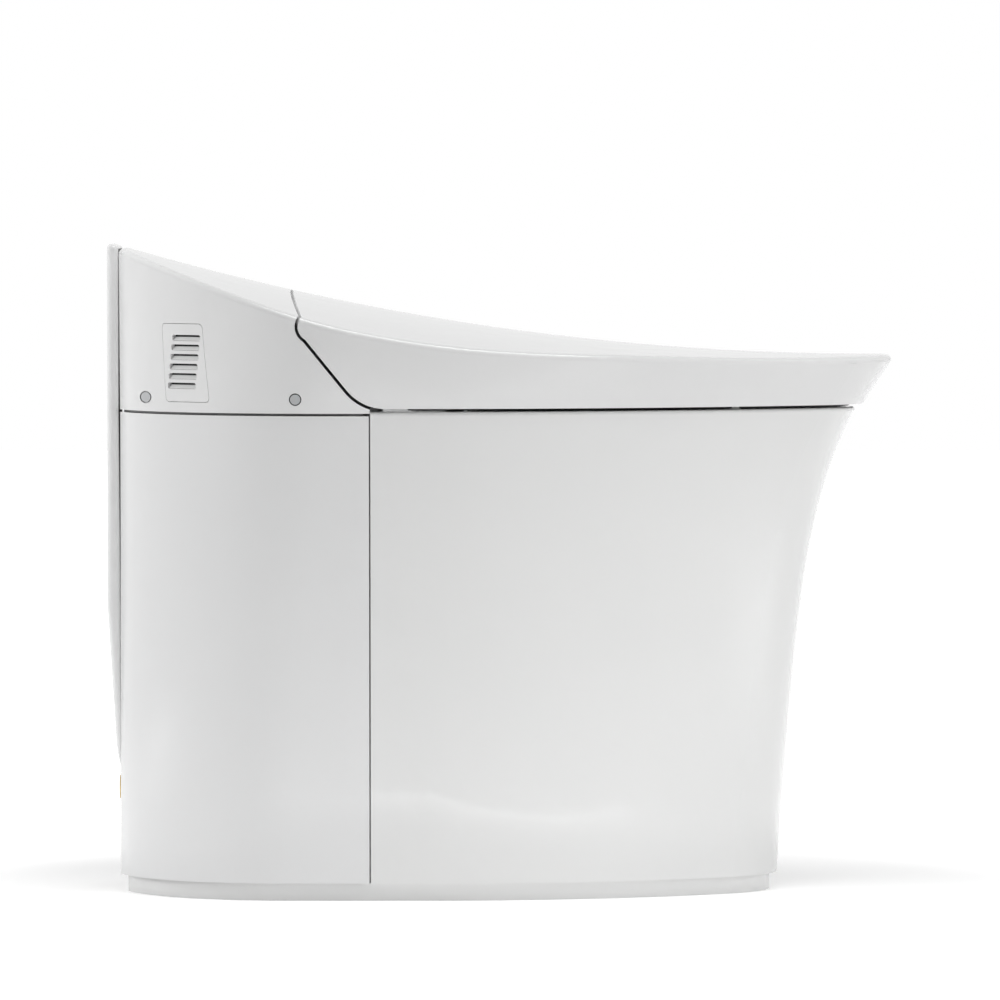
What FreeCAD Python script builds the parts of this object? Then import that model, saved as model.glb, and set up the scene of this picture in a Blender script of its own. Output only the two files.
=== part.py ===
import FreeCAD, Part

import math
import os

import Sketcher

# Smart toilet with heated seat: a skirted bowl, removable side panels, a rear tower with the
# works, and a seat and lid on one hinge line.  Millimetres; +X to the front, +Y to the user's
# left, +Z up; the origin is on the floor under the middle of the outside box.

SIZES = {
    # skirt of the bowl and the side panels
    "floor_nose": 242.7,
    "rim_nose": 312.0,
    "floor_half": 151.5,
    "rim_half": 188.0,
    "floor_rear": 336.6,
    "rim_rear": 335.5,
    "rim_height": 422.0,
    "flare_share": 0.55,
    "skirt_apex": 50.0,
    "rim_apex": 95.0,
    "floor_nose_arc": 90.0,
    "rim_nose_arc": 75.0,
    "rear_flat": 42.0,
    "foot_height": 15.0,
    "foot_inset": 6.5,
    "foot_width": 36.0,
    "china_wall": 12.0,
    "rim_round": 2.5,
    "panel_seam": 111.0,
    "panel_gap": 1.2,
    "panel_wall": 3.5,
    "panel_flange": 10.5,
    "chassis_inset": 32.0,
    "deck_height": 418.5,
    # bowl
    "bowl_nose": 262.0,
    "bowl_half": 118.0,
    "bowl_rear": 52.0,
    "bowl_apex": 80.0,
    "bowl_nose_arc": 85.0,
    "sump_centre": 20.0,
    "sump_half": 34.0,
    "sump_height": 186.0,
    "basin_wall": 10.0,
    "trap_bore": 27.0,
    "trap_wall": 6.0,
    "trap_bend": 40.0,
    "trap_run": 15.0,
    "trap_crest": 5.0,
    "trap_split": 96.0,
    "neck_height": 178.0,
    "first_bottom": 132.0,
    "weir_height": 245.0,
    "rear_bottom": 60.0,
    "outlet_place": 49.0,
    "outlet_shelf": 8.0,
    "bolt_place": 215.0,
    "bolt_half": 125.0,
    "bolt_hole": 5.5,
    # lid and tower block
    "lid_foot": 424.3,
    "lid_nose": 317.4,
    "lid_half": 190.5,
    "nose_slope": 0.6619,
    "side_slope": 0.327,
    "lid_nose_arc": 78.0,
    "crown_height": 467.3,
    "crown_start": 324.0,
    "crown_arc": 2273.0,
    "edge_round": 4.5,
    "shell_wall": 4.0,
    "seam_gap": 2.6,
    "tower_foot": 420.4,
    # hinge line
    "hinge_back": 160.0,
    "hinge_height": 495.0,
    "knuckle": 34.2,
    "knuckle_end": 12.5,
    "knuckle_reach": 203.0,
    "cove_centre": 98.0,
    "cove_height": 466.5,
    "cove_arc": 42.0,
    "seam_angle": 51.1,
    "barrel_radius": 13.0,
    "barrel_half": 112.0,
    "barrel_bore": 10.0,
    "barrel_end": 14.0,
    "pin_radius": 5.0,
    "pin_play": 0.05,
    "pin_half": 157.0,
    "arm_inner": 117.0,
    "arm_width": 18.0,
    "ear_inner": 137.0,
    "ear_width": 18.0,
    # seat
    "seat_nose": 308.0,
    "seat_half": 182.0,
    "seat_back": 104.0,
    "seat_foot": 427.0,
    "seat_split": 434.8,
    "seat_height": 449.0,
    "seat_hole_nose": 252.0,
    "seat_hole_half": 103.0,
    "seat_hole_rear": 30.0,
    "seat_round": 5.0,
    "seat_corner": 20.0,
    "seat_skin": 3.0,
    "heater_thick": 0.8,
    "rest_gap": 0.3,
    "pad_radius": 8.0,
    # rear cover
    "cover_back": 342.0,
    "cover_foot": 107.0,
    "cover_knee": 250.0,
    "cover_top": 563.8,
    "cover_wall": 2.5,
    "cover_round": 5.0,
    # filter, caps and buttons in the tower wall
    "side_turn": 43.4,
    "filter_height": 463.0,
    "filter_wide": 50.2,
    "filter_tall": 67.0,
    "filter_corner": 4.0,
    "fit_gap": 0.4,
    "slot_wide": 34.0,
    "slot_high": 5.2,
    "slot_pitch": 8.25,
    "slot_top": 9.4,
    "slot_count": 6,
    "cartridge_deep": 20.0,
    "cap_radius": 4.4,
    "cap_gap": 0.9,
    "cap_ledge": 2.0,
    "cap_height": 432.5,
    "cap_front": 175.0,
    "cap_rear": 306.0,
    "button_radius": 9.0,
    "button_pitch": 26.0,
    "bezel_margin": 5.0,
    "button_height": 468.0,
    "button_stem": 3.0,
    # spray wand and dryer
    "bay_back": 111.0,
    "bay_front": 57.0,
    "bay_half": 59.0,
    "bay_floor": 366.0,
    "bay_top": 418.3,
    "bay_tail": 150.0,
    "bay_step": 396.0,
    "bay_play": 1.0,
    "slot_back": 178.0,
    "wand_tip_back": 66.0,
    "wand_tip_height": 385.0,
    "wand_angle": 28.0,
    "wand_radius": 6.5,
    "wand_side": 22.0,
    "wand_length": 190.0,
    "head_length": 22.0,
    "rail_start": 95.0,
    "rail_length": 45.0,
    "rail_wall": 3.5,
    "duct_side": 25.0,
    "duct_wide": 30.0,
    "duct_foot": 398.0,
    "duct_high": 15.0,
    "flap_thick": 2.0,
    "fan_back": 245.0,
    "fan_height": 462.0,
    "fan_radius": 34.0,
    "fan_wide": 38.0,
    "fan_wall": 2.5,
    "impeller_radius": 27.0,
    "blade_count": 14,
    "shaft_radius": 3.0,
    # service pieces
    "plate_thick": 2.9,
    "plate_inset": 4.6,
    "inlet_height": 90.0,
    "inlet_side": 22.0,
    "inlet_radius": 10.3,
    "inlet_reach": 332.0,
    "gland_radius": 8.0,
    "cord_hole": 3.5,
    "supply_long": 36.0,
    "supply_wide": 90.0,
    "supply_tall": 48.0,
    "supply_back": 320.0,
    "board_wide": 120.0,
    "board_long": 30.0,
    "board_thick": 1.6,
    "standoff": 6.0,
    "heater_back": 275.0,
    "heater_long": 74.0,
    "heater_side": 60.0,
    "heater_wide": 60.0,
    "heater_tall": 52.0,
    "heater_round": 12.0,
    "valve_long": 46.0,
    "valve_wide": 40.0,
    "valve_tall": 44.0,
}

doc = FreeCAD.newDocument("smart_toilet")
sheet = doc.addObject("Spreadsheet::Sheet", "Sizes")
nodes = []
V = FreeCAD.Vector
UP = V(0, 0, 1)
LEFT = V(0, 1, 0)
WIDE = 300
FRONT = V(1, 0, 0)


class Size:
    # a number together with the sheet formula that gives it
    def __init__(self, value, formula):
        self.value = value
        self.formula = formula

    def __float__(self):
        return float(self.value)

    def __add__(self, other):
        return Size(float(self) + float(other), f"({self.formula} + {text(other)})")

    def __sub__(self, other):
        return Size(float(self) - float(other), f"({self.formula} - {text(other)})")

    def __rsub__(self, other):
        return Size(float(other) - float(self), f"({text(other)} - {self.formula})")

    def __mul__(self, other):
        return Size(float(self) * float(other), f"({self.formula} * {text(other)})")

    def __neg__(self):
        return Size(-float(self), f"(0 - {self.formula})")

    __radd__ = __add__
    __rmul__ = __mul__


def text(number):
    return number.formula if isinstance(number, Size) else f"({float(number)})"


def fill_sheet():
    for row, (name, number) in enumerate(SIZES.items(), start=1):
        sheet.set(f"A{row}", name)
        sheet.set(f"B{row}", str(number))
        sheet.setAlias(f"B{row}", name)
    doc.recompute()


def size(name):
    return Size(float(sheet.get(name)), f"Sizes.{name}")


def num(name):
    return float(sheet.get(name))


def bind(thing, **formulas):
    for name, number in formulas.items():
        thing.setExpression(name, text(number))


def place(thing, x, y, z):
    bind_base = {"x": x, "y": y, "z": z}
    for axis, number in bind_base.items():
        thing.setExpression(f"Placement.Base.{axis}", text(number))


def node(thing, label):
    thing.Label = label
    nodes.append(thing)
    return thing


def shaped(label, shape):
    # a sub-part whose solid is worked out here from the sheet's sizes
    thing = doc.addObject("Part::Feature", label)
    thing.Shape = shape
    thing.Placement = FreeCAD.Placement()
    return node(thing, label)


# ---- small makers of parametric pieces ----


def origin_plane(body, role):
    return next(f for f in body.Origin.OriginFeatures if f.Role == role)


def polygon(body, role, corners):
    # a closed sketch whose corners are pairs of sizes, each held by two dimensions
    sketch = body.newObject("Sketcher::SketchObject", body.Name + "_sketch")
    sketch.AttachmentSupport = [(origin_plane(body, role), "")]
    sketch.MapMode = "FlatFace"
    points = [V(float(a), float(b), 0) for a, b in corners]
    count = len(points)
    for i in range(count):
        sketch.addGeometry(Part.LineSegment(points[i], points[(i + 1) % count]))
    for i in range(count):
        sketch.addConstraint(Sketcher.Constraint("Coincident", i, 2, (i + 1) % count, 1))
    for i, pair in enumerate(corners):
        for kind, number in zip(("DistanceX", "DistanceY"), pair):
            rule = Sketcher.Constraint(kind, -1, 1, i, 1, float(number))
            held = sketch.addConstraint(rule)
            if isinstance(number, Size):
                sketch.setExpression(f"Constraints[{held}]", number.formula)
    return sketch


def turned(label, corners, where, turn=None):
    # a piece turned about its own upright axis; corners are (radius, height)
    body = doc.addObject("PartDesign::Body", label)
    sketch = polygon(body, "XZ_Plane", corners)
    spin = body.newObject("PartDesign::Revolution", label + "_turned")
    spin.Profile = sketch
    spin.ReferenceAxis = (sketch, ["V_Axis"])
    spin.Angle = 360
    if turn:
        body.Placement = FreeCAD.Placement(V(), FreeCAD.Rotation(*turn))
    place(body, *where)
    return body


def padded(label, role, corners, length, where, centred=True):
    body = doc.addObject("PartDesign::Body", label)
    pad = body.newObject("PartDesign::Pad", label + "_pad")
    pad.Profile = polygon(body, role, corners)
    bind(pad, Length=length)
    if centred:
        pad.SideType = "Symmetric"
    place(body, *where)
    return body


def box(name, low, high):
    thing = doc.addObject("Part::Box", name)
    bind(thing, Length=high[0] - low[0], Width=high[1] - low[1], Height=high[2] - low[2])
    place(thing, *low)
    return thing


def rod(name, radius, length, where, turn=None):
    thing = doc.addObject("Part::Cylinder", name)
    bind(thing, Radius=radius, Height=length)
    if turn:
        thing.Placement = FreeCAD.Placement(V(), FreeCAD.Rotation(*turn))
    place(thing, *where)
    return thing


def joined(name, *pieces):
    thing = doc.addObject("Part::MultiFuse", name)
    thing.Shapes = list(pieces)
    return thing


# ---- plan outlines and the big blocks ----


def outline(height, nose, half, rear, apex, nose_arc, flat, inset=0.0):
    # nose arc, two long side arcs, straights, two rear arcs and a flat, all tangent but the flat
    reach = nose - apex
    side_arc = (reach**2 + half**2 - 2 * reach * nose_arc) / (2 * (half - nose_arc))
    lean = (reach - nose_arc, side_arc - half)
    span = side_arc - nose_arc
    touch = V(apex + side_arc * lean[0] / span, side_arc * lean[1] / span - (side_arc - half))
    centre = V(apex, half - side_arc)
    away = (touch - centre).normalize()
    touch = touch - away * inset
    middle = V(apex, half).sub(centre).normalize() + away
    bulge = centre + middle.normalize() * (side_arc - inset)
    turn = rear + half
    back = turn - math.sqrt(half**2 - flat**2) + inset
    edge = math.sqrt((half - inset) ** 2 - (turn - back) ** 2)
    swing = math.radians(180) - 0.5 * (math.asin(edge / (half - inset)) + math.radians(90))
    corner = V(turn + (half - inset) * math.cos(swing), (half - inset) * math.sin(swing))
    stops = [V(apex, half - inset), V(turn, half - inset), V(back, edge)]

    def at(point, side):
        return V(point.x, point.y * side, height)

    nose_tip = V(nose - inset, 0)
    edges = [
        Part.Arc(at(touch, -1), at(nose_tip, 1), at(touch, 1)),
        Part.Arc(at(touch, 1), at(bulge, 1), at(stops[0], 1)),
        Part.LineSegment(at(stops[0], 1), at(stops[1], 1)),
        Part.Arc(at(stops[1], 1), at(corner, 1), at(stops[2], 1)),
        Part.LineSegment(at(stops[2], 1), at(stops[2], -1)),
        Part.Arc(at(stops[2], -1), at(corner, -1), at(stops[1], -1)),
        Part.LineSegment(at(stops[1], -1), at(stops[0], -1)),
        Part.Arc(at(stops[0], -1), at(bulge, -1), at(touch, -1)),
    ]
    return Part.Wire([e.toShape() for e in edges])


def skirt_outline(height, inset=0.0):
    # the skirt flares slowly at first and quickly just under the rim
    rise = (height - num("foot_height")) / (num("rim_height") - num("foot_height"))
    share = num("flare_share")
    flare = (1 - share) * rise + share * max(rise, 0) ** 5
    return outline(
        height,
        num("floor_nose") + (num("rim_nose") - num("floor_nose")) * flare,
        num("floor_half") + (num("rim_half") - num("floor_half")) * flare,
        -num("floor_rear") - (num("rim_rear") - num("floor_rear")) * rise,
        -num("skirt_apex") - (num("rim_apex") - num("skirt_apex")) * rise,
        num("floor_nose_arc") + (num("rim_nose_arc") - num("floor_nose_arc")) * rise,
        num("rear_flat"),
        inset,
    )


def skirt_block(low, high, inset=0.0):
    steps = 6
    heights = [low + (high - low) * i / steps for i in range(steps + 1)]
    return Part.makeLoft([skirt_outline(z, inset) for z in heights], True)


def lid_outline(height, inset=0.0):
    rise = height - num("lid_foot")
    return outline(
        height,
        num("lid_nose") + num("nose_slope") * rise,
        num("lid_half") + num("side_slope") * rise,
        -num("rim_rear"),
        -num("rim_apex"),
        num("lid_nose_arc") + 0.1 * rise,
        num("rear_flat"),
        inset,
    )


def crown(x):
    # height of the top surface along the middle line
    fall = max(num("crown_start") - x, 0)
    return num("crown_height") + fall**2 / (2 * num("crown_arc"))


def camber(x):
    # how fast the top falls away to the sides, strongest a little behind the middle
    middle = -86
    spread = 260
    bell = max(0, 1 - ((x - middle) / spread) ** 2) ** 2
    return 2.2e-4 + 2.5e-4 * bell


def sky(drop=0.0):
    # everything above the top surface
    reach = 260
    high = 700
    slices = []
    for step in range(13):
        x = -360 + 62 * step
        top = crown(x) - drop
        low = top - camber(x) * reach**2
        arc = Part.Arc(V(x, -reach, low), V(x, 0, top), V(x, reach, low)).toShape()
        corners = [V(x, reach, low), V(x, reach, high), V(x, -reach, high), V(x, -reach, low)]
        sides = [Part.LineSegment(corners[i], corners[i + 1]).toShape() for i in range(3)]
        slices.append(Part.Wire([arc] + sides))
    return Part.makeLoft(slices, True)


def top_block(inset=0.0, drop=0.0, rounded=False):
    low = num("tower_foot")
    block = Part.makeLoft([lid_outline(low, inset), lid_outline(600, inset)], True)
    block = block.cut(sky(drop))
    if rounded:
        high = [e for e in block.Edges if e.BoundBox.ZMin > num("crown_height") - 25]
        block = block.makeFillet(num("edge_round"), high)
    return block


def prism_y(points, half, low=None):
    # an upright side profile pushed out along Y
    start = -half if low is None else low
    face = Part.Face(Part.makePolygon([V(x, start, z) for x, z in points + points[:1]]))
    return face.extrude(V(0, half - start, 0))


def cuboid(low, high):
    return Part.makeBox(high[0] - low[0], high[1] - low[1], high[2] - low[2], V(*low))


def hinge_point():
    return V(-num("hinge_back"), 0, num("hinge_height"))


def front_of_seam(gap):
    # the room of the lid in side view: a straight slanted seam that runs into a cove
    slant = math.radians(num("seam_angle"))
    along = V(math.cos(slant), 0, -math.sin(slant))
    away = V(-math.sin(slant), 0, -math.cos(slant))
    centre = V(-num("cove_centre"), 0, num("cove_height"))
    reach = num("cove_arc") + gap
    touch = centre + away * reach
    kink = touch - along * ((touch - hinge_point()).dot(along))
    lowest = centre - UP * reach
    bend = centre + (away - UP).normalize() * reach
    wide = 300
    far = V(500, 0, lowest.z)
    top = V(500, 0, 700)
    back = V(kink.x, 0, 700)
    edges = [
        Part.LineSegment(kink, touch),
        Part.Arc(touch, bend, lowest),
        Part.LineSegment(lowest, far),
        Part.LineSegment(far, top),
        Part.LineSegment(top, back),
        Part.LineSegment(back, kink),
    ]
    face = Part.Face(Part.Wire([e.toShape() for e in edges]))
    face.translate(V(0, -wide, 0))
    return face.extrude(V(0, 2 * wide, 0))


def spindle(change=0.0, reach=None):
    # the knuckle that the lid turns on: widest in the middle, an arc to each end
    end = num("knuckle_reach") if reach is None else reach
    thick = num("knuckle") + change
    thin = num("knuckle_end") + change
    base = hinge_point()
    tips = [base + V(0, -end, 0), base + V(0, end, 0)]
    arc = Part.Arc(tips[0] + UP * thin, base + UP * thick, tips[1] + UP * thin).toShape()
    ends = [
        Part.LineSegment(tips[1] + UP * thin, tips[1]).toShape(),
        Part.LineSegment(tips[1], tips[0]).toShape(),
        Part.LineSegment(tips[0], tips[0] + UP * thin).toShape(),
    ]
    solid = Part.Face(Part.Wire([arc] + ends)).revolve(base, LEFT, 360)
    out = [cuboid_end(base, side, end, thin) for side in (-1, 1)]
    return solid.fuse(out).removeSplitter()


def cuboid_end(base, side, end, radius):
    start = base + V(0, side * end, 0)
    return Part.makeCylinder(radius, 60, start, LEFT * side)


def wedge(low, high, radius, half):
    # a slice of pie about the hinge line, angles in degrees up from the front
    base = hinge_point()
    count = max(2, int((high - low) / 30) + 1)
    points = [(base.x, base.z)]
    for i in range(count + 1):
        angle = math.radians(low + (high - low) * i / count)
        points.append((base.x + radius * math.cos(angle), base.z + radius * math.sin(angle)))
    return prism_y(points, half)


# ---- china ----


def basin_outline(height, grow=0.0):
    # the bowl closes in slowly from the rim and quickly near the sump
    depth = (num("rim_height") - height) / (num("rim_height") - num("sump_height"))
    share = max(depth, 0) ** 1.8
    sump = num("sump_half")
    centre = num("sump_centre")

    def blend(rim, low):
        return rim + (low - rim) * share

    return outline(
        height,
        blend(num("bowl_nose"), centre + 1.2 * sump),
        blend(num("bowl_half"), sump),
        blend(-num("bowl_rear"), centre - 1.1 * sump),
        blend(num("bowl_apex"), centre),
        blend(num("bowl_nose_arc"), 0.75 * sump),
        blend(30, 8),
        -grow,
    )


def basin_block(low, high, grow, shift):
    heights = [low + (high - low) * (1 - (1 - i / 7) ** 1.6) for i in range(8)]
    slices = [basin_outline(z, grow) for z in heights]
    for piece in slices:
        piece.translate(V(0, 0, shift))
    return Part.makeLoft(slices, True)


def basin_outside(gap=0.0):
    # the outer surface of the basin and of the neck under it
    grow = num("basin_wall") + gap
    lift = 8
    basin = basin_block(num("sump_height"), num("rim_height") - 4, grow, -lift)
    neck = Part.makeCylinder(
        num("trap_bore") + grow,
        num("sump_height") - num("neck_height") + 4,
        V(num("sump_centre"), 0, num("neck_height")),
    )
    return basin.fuse(neck)


def basin_inside():
    inside = basin_block(num("sump_height"), num("rim_height") + 6, 0, 0)
    bore = Part.makeCylinder(num("trap_bore"), 30, V(num("sump_centre"), 0, 170))
    return [inside, bore]


def under_deck():
    # the room below the rim's deck, where the basin is a node of its own
    low = num("neck_height") - 1
    high = num("rim_height") - num("china_wall")
    return cuboid((-WIDE, -WIDE, low), (WIDE, WIDE, high))


def bowl_basin():
    basin = basin_outside().common(under_deck()).cut(basin_inside() + bay_room())
    return max(basin.Solids, key=lambda s: s.Volume)


def bowl_casting():
    seam = -num("panel_seam")
    wall = num("china_wall")
    rim = num("rim_height")
    foot = num("foot_height")
    step = seam + wall
    skirt = skirt_block(foot, rim)
    round_rim = [e for e in skirt.Edges if e.BoundBox.ZMin > rim - 0.1]
    skirt = skirt.makeFillet(num("rim_round"), round_rim)
    front = skirt.common(cuboid((seam, -300, 0), (500, 300, 700)))
    inset = num("chassis_inset")
    rear = skirt_block(foot, num("deck_height"), inset)
    rear = rear.common(cuboid((-500, -300, 0), (step - 2, 300, 700)))
    ring = Part.Face(skirt_outline(foot, num("foot_inset"))).extrude(V(0, 0, -foot))
    hole = Part.Face(skirt_outline(foot, num("foot_inset") + num("foot_width")))
    ring = ring.cut(hole.extrude(V(0, 0, -foot)))
    inner = skirt_block(foot, rim - wall, wall)
    inner = inner.common(cuboid((step, -300, 0), (500, 300, 700)))
    inner_rear = skirt_block(foot, num("deck_height") - wall, inset + wall - 2)
    inner_rear = inner_rear.common(cuboid((-500, -300, 0), (step + 4, 300, 700)))
    china = front.fuse([rear, ring]).cut(inner.fuse(inner_rear))
    pocket_wall = 8
    boss = cuboid(
        (-num("bay_back") - pocket_wall, -num("bay_half") - pocket_wall, num("bay_floor") - 9),
        (-num("bay_front"), num("bay_half") + pocket_wall, rim - wall + 1),
    )
    china = china.fuse(boss).cut(basin_outside(num("rest_gap")).common(under_deck()))
    china = china.cut(basin_inside() + bay_room() + foot_holes() + back_holes())
    return max(china.removeSplitter().Solids, key=lambda s: s.Volume)


def bay_room():
    play = num("bay_play")
    half = num("bay_half") + play
    high = num("rim_height") + 4
    front = cuboid(
        (-num("bay_back") - play, -half, num("bay_floor") - play),
        (-num("bay_front") + 14, half, high),
    )
    rear = cuboid((-num("slot_back"), -half, num("bay_step") - play - 5), (-100, half, high))
    return [front, rear]


def foot_holes():
    spots = [V(-num("bolt_place"), side * num("bolt_half"), -5) for side in (-1, 1)]
    return [Part.makeCylinder(num("bolt_hole"), 40, spot) for spot in spots]


def back_holes():
    spots = ((-1, num("inlet_radius")), (1, num("gland_radius")))
    side = num("inlet_side")
    height = num("inlet_height")
    return [
        Part.makeCylinder(radius + 0.3, 50, V(-310, sign * side, height), FRONT)
        for sign, radius in spots
    ]


def trap_path():
    # down from the sump, up over the weir, down again and forward to the floor outlet
    bend = num("trap_bend")
    start = num("sump_centre")
    run = num("trap_run")
    crest = num("trap_crest")
    up = start - 2 * bend - run
    down = up - 2 * bend - crest
    low = num("first_bottom") + bend
    weir = num("weir_height") - bend
    rear = num("rear_bottom") + bend
    end = -num("outlet_place")
    turn = num("rear_bottom") - bend
    half = bend * math.sqrt(0.5)
    runs = [
        (V(start, 0, num("neck_height")), V(start, 0, low)),
        (V(start - bend, 0, low - bend), V(start - bend - run, 0, low - bend)),
        (V(up, 0, low), V(up, 0, weir)),
        (V(up - bend, 0, weir + bend), V(up - bend - crest, 0, weir + bend)),
        (V(down, 0, weir), V(down, 0, rear)),
        (V(down + bend, 0, rear - bend), V(end - bend, 0, rear - bend)),
        (V(end, 0, turn), V(end, 0, num("outlet_shelf") + 0.2)),
    ]
    centres = [
        (V(start - bend, 0, low), V(half, 0, -half)),
        (V(up + bend, 0, low), V(-half, 0, -half)),
        (V(up - bend, 0, weir), V(half, 0, half)),
        (V(down + bend, 0, weir), V(-half, 0, half)),
        (V(down + bend, 0, rear), V(-half, 0, -half)),
        (V(end - bend, 0, turn), V(half, 0, half)),
    ]
    edges = []
    for i, (a, b) in enumerate(runs):
        edges.append(Part.LineSegment(a, b).toShape())
        if i < len(centres):
            centre, out = centres[i]
            edges.append(Part.Arc(b, centre + out, runs[i + 1][0]).toShape())
    return Part.Wire(edges)


def pipe(path, radius):
    start = path.OrderedVertexes[0].Point
    ring = Part.Wire([Part.Circle(start, UP, radius).toShape()])
    return path.makePipeShell([ring], True, False)


def whole_trap():
    bore = num("trap_bore")
    outer = pipe(trap_path(), bore + num("trap_wall"))
    collar_top = V(num("sump_centre"), 0, num("neck_height") - 5)
    collar = Part.makeCylinder(bore + num("basin_wall"), 5, collar_top)
    return outer.fuse(collar).cut(pipe(trap_path(), bore))


def trap_inlet_room():
    # the first bend and the leg above it; the rest of the trap is a second piece
    start = num("sump_centre") - num("trap_bend") - num("trap_run") / 2
    return cuboid((start, -WIDE, num("trap_split")), (WIDE, WIDE, num("rim_height")))


def trap_inlet():
    return whole_trap().common(trap_inlet_room())


def trapway():
    return whole_trap().cut(trap_inlet_room())


# ---- panels, tower, cover ----


def side_panel(side):
    seam = -num("panel_seam") - num("panel_gap")
    low = num("foot_height") + 0.2
    high = num("deck_height") - num("rest_gap")
    wall = num("panel_wall")
    flange = wall + num("panel_flange")
    flat = num("rear_flat") + 0.4
    heights = (num("foot_height"), num("rim_height"))
    whole = skirt_block(*heights)
    near = (-500, flat if side > 0 else -300, low)
    far = (seam, 300 if side > 0 else -flat, high)
    whole = whole.common(cuboid(near, far))
    inner = skirt_block(*heights, wall)
    inner = inner.common(cuboid((-500, -300, 0), (seam - wall, 300, high - wall)))
    return whole.cut([inner, skirt_block(*heights, flange)])


def tower_region(inset=0.0, drop=0.0, gap=0.0, rounded=False):
    block = top_block(inset, drop, rounded)
    low = num("tower_foot")
    block = block.common(cuboid((-500, -300, low), (-num("panel_seam") - 0.3, 300, 700)))
    return block.cut([front_of_seam(gap), spindle(gap)])


def local(side, height):
    # a frame on the tower's rounded rear side: along the wall, out of it, and up
    turn = math.radians(num("side_turn"))
    rise = height - num("lid_foot")
    half = num("lid_half") + num("side_slope") * rise
    centre = V(-num("rim_rear") + half, 0, height)
    out = V(-math.sin(turn), side * math.cos(turn), 0)
    along = V(math.cos(turn), side * math.sin(turn), 0)
    return centre + out * half, along, out


def wall_prism(side, height, wide, tall, corner, reach=70):
    # a rounded rectangle driven through the wall
    spot, along, out = local(side, height)
    a, b = wide / 2, tall / 2
    plain = Part.makeBox(wide, 2 * reach, tall, V(-a, -reach, -b))
    edges = [e for e in plain.Edges if abs(e.tangentAt(e.FirstParameter).y) > 0.9]
    solid = plain.makeFillet(corner, edges)
    hand = 1 if along.cross(out).z > 0 else -1
    matrix = FreeCAD.Matrix(
        hand * along.x, out.x, 0, spot.x,
        hand * along.y, out.y, 0, spot.y,
        0, 0, 1, spot.z,
        0, 0, 0, 1,
    )
    solid.transformShape(matrix)
    return solid


def cap_spots():
    places = (num("cap_front"), num("cap_rear"))
    return [(-x, side) for x in places for side in (-1, 1)]


def cap_rod(x, side, radius):
    return Part.makeCylinder(radius, 250, V(x, 0, num("cap_height")), LEFT * side)


def tower_shell():
    wall = num("shell_wall")
    gap = num("seam_gap")
    outer = tower_region(0, 0, gap, True)
    inner = tower_region(wall, wall, gap + wall)
    reach = V(0, 0, -10)
    inner = inner.fuse(inner.copy().translated(reach))
    shell = outer.cut(inner)
    grow = 2 * num("fit_gap")
    holes = [
        wall_prism(
            -1,
            num("filter_height"),
            num("filter_wide") + grow,
            num("filter_tall") + grow,
            num("filter_corner"),
        ),
        wall_prism(1, num("button_height"), bezel_wide() + grow, bezel_tall() + grow, 6),
    ]
    ledge = skin(num("cap_ledge"))
    for x, side in cap_spots():
        holes.append(cap_rod(x, side, num("cap_radius") + num("cap_gap")).common(ledge))
        holes.append(cap_rod(x, side, num("cap_radius") + num("rest_gap")))
    shell = shell.cut(holes)
    return max(shell.Solids, key=lambda s: s.Volume)


def bezel_wide():
    return num("button_pitch") + 2 * (num("button_radius") + num("bezel_margin"))


def bezel_tall():
    return 2 * (num("button_radius") + num("bezel_margin"))


def skin(deep, near=0.0):
    # the layer of the tower's wall between two depths
    return top_block(near, 0).cut(top_block(deep, 0))


def filter_grille():
    wall = num("shell_wall")
    height = num("filter_height")
    plate = skin(wall).common(
        wall_prism(
            -1,
            height,
            num("filter_wide"),
            num("filter_tall"),
            num("filter_corner"),
        )
    )
    first = height + num("filter_tall") / 2 - num("slot_top") - num("slot_high") / 2
    slots = []
    for i in range(int(num("slot_count"))):
        z = first - i * num("slot_pitch")
        slots.append(wall_prism(-1, z, num("slot_wide"), num("slot_high"), 1.5, 12))
    return plate.cut(slots)


def filter_cartridge():
    wall = num("shell_wall")
    deep = wall + num("cartridge_deep")
    room = top_block(wall + num("rest_gap"), 0).cut(top_block(deep, 0))
    wide = num("filter_wide") - 8
    tall = num("filter_tall") - 9
    return room.common(wall_prism(-1, num("filter_height"), wide, tall, 3))


def screw_caps():
    wall = num("shell_wall")
    ring = top_block(0, 0).cut(top_block(wall, 0))
    caps = []
    for x, side in cap_spots():
        disc = cap_rod(x, side, num("cap_radius")).common(ring)
        caps.append(disc)
    return Part.makeCompound(caps)


def button_place(index):
    return num("button_pitch") * (index - 0.5)


def button_rod(index, radius, start, length):
    spot, along, out = local(1, num("button_height"))
    centre = spot + along * button_place(index)
    return Part.makeCylinder(radius, length, centre + out * start, out)


def button_bezel():
    wall = num("shell_wall")
    plate = skin(wall).common(wall_prism(1, num("button_height"), bezel_wide(), bezel_tall(), 6))
    gap = num("fit_gap")
    rods = [button_rod(i, num("button_radius") + gap, -30, 60) for i in (0, 1)]
    return plate.cut(rods)


def push_button(index):
    wall = num("shell_wall")
    cap = skin(wall).common(button_rod(index, num("button_radius"), -30, 60))
    stem = button_rod(index, num("button_stem"), -12, 9).cut(skin(wall))
    return cap.fuse(stem.common(top_block(wall, 0)))


def tower_base():
    low = num("deck_height") + 0.1
    plan = Part.Face(lid_outline(low, num("plate_inset")))
    plate = plan.extrude(V(0, 0, num("plate_thick")))
    front = num("panel_seam") + num("shell_wall") + 2 * num("panel_gap")
    plate = plate.common(cuboid((-500, -WIDE, 0), (-front, WIDE, 700)))
    half = num("bay_half") + num("bay_play")
    slot = cuboid((-num("slot_back"), -half, 0), (-90, half, 700))
    return plate.cut(slot)


# ---- lid, seat and hinge ----


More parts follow.
